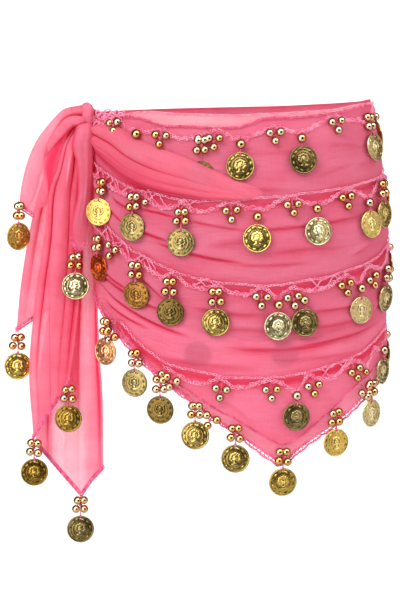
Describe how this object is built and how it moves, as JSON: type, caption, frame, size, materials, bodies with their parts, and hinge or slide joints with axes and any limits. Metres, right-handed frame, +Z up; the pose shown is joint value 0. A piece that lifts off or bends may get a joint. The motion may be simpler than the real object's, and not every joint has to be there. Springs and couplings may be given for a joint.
{
  "type": "belly dance hip scarf",
  "caption": "Sheer pink hip scarf wound round the hips and knotted at one side, its V hem and crochet rows hung with beads and stamped gold coins.",
  "frame": {"origin": "centre of the waist opening, level with the top edge, where the wearer's waist holds the scarf", "axes": "+Z up out of the waist opening; the front with the V point faces -Y; the knot and the hanging ends are at -X"},
  "size_m": [0.4271, 0.2473, 0.4898],
  "materials": {
    "chiffon": "sheer, soft sheen",
    "crochet": "twisted yarn",
    "coin gold": "bright stamped",
    "bead gold": "mirror plated"
  },
  "bodies": {
    "root": {"wrap_front": "chiffon", "wrap_back": "chiffon", "front_fold": "chiffon", "knot": "chiffon", "tail_side": "chiffon", "tail_back": "chiffon", "tail_front": "chiffon", "tail_long": "chiffon", "tail_strip": "chiffon", "top_trim_front": "crochet", "top_trim_back": "crochet", "row_2_front": "crochet", "row_2_back": "crochet", "row_3_front": "crochet", "row_3_back": "crochet", "row_4_front": "crochet", "hem_trim_front": "crochet", "hem_trim_back": "crochet", "tail_side_trim": "crochet", "tail_back_trim": "crochet", "tail_front_trim": "crochet", "tail_long_trim": "crochet", "tail_strip_trim": "crochet", "row_1_coin_1": "coin gold", "row_1_coin_2": "coin gold", "row_1_coin_3": "coin gold", "row_1_coin_4": "coin gold", "row_1_coin_5": "coin gold", "row_2_coin_1": "coin gold", "row_2_coin_2": "coin gold", "row_2_coin_3": "coin gold", "row_2_coin_4": "coin gold", "row_2_coin_5": "coin gold", "row_2_coin_6": "coin gold", "row_2_coin_7": "coin gold", "row_3_coin_1": "coin gold", "row_3_coin_2": "coin gold", "row_3_coin_3": "coin gold", "row_3_coin_4": "coin gold", "row_3_coin_5": "coin gold", "row_3_coin_6": "coin gold", "row_3_coin_7": "coin gold", "row_3_coin_8": "coin gold", "row_4_coin_1": "coin gold", "row_4_coin_2": "coin gold", "hem_coin_1": "coin gold", "hem_coin_2": "coin gold", "hem_coin_3": "coin gold", "hem_coin_4": "coin gold", "hem_coin_5": "coin gold", "hem_coin_6": "coin gold", "hem_coin_7": "coin gold", "hem_coin_8": "coin gold", "tail_coin_1": "coin gold", "tail_coin_2": "coin gold", "tail_coin_3": "coin gold", "tail_coin_4": "coin gold", "tail_coin_5": "coin gold", "tail_coin_6": "coin gold"}
  },
  "joints": []
}
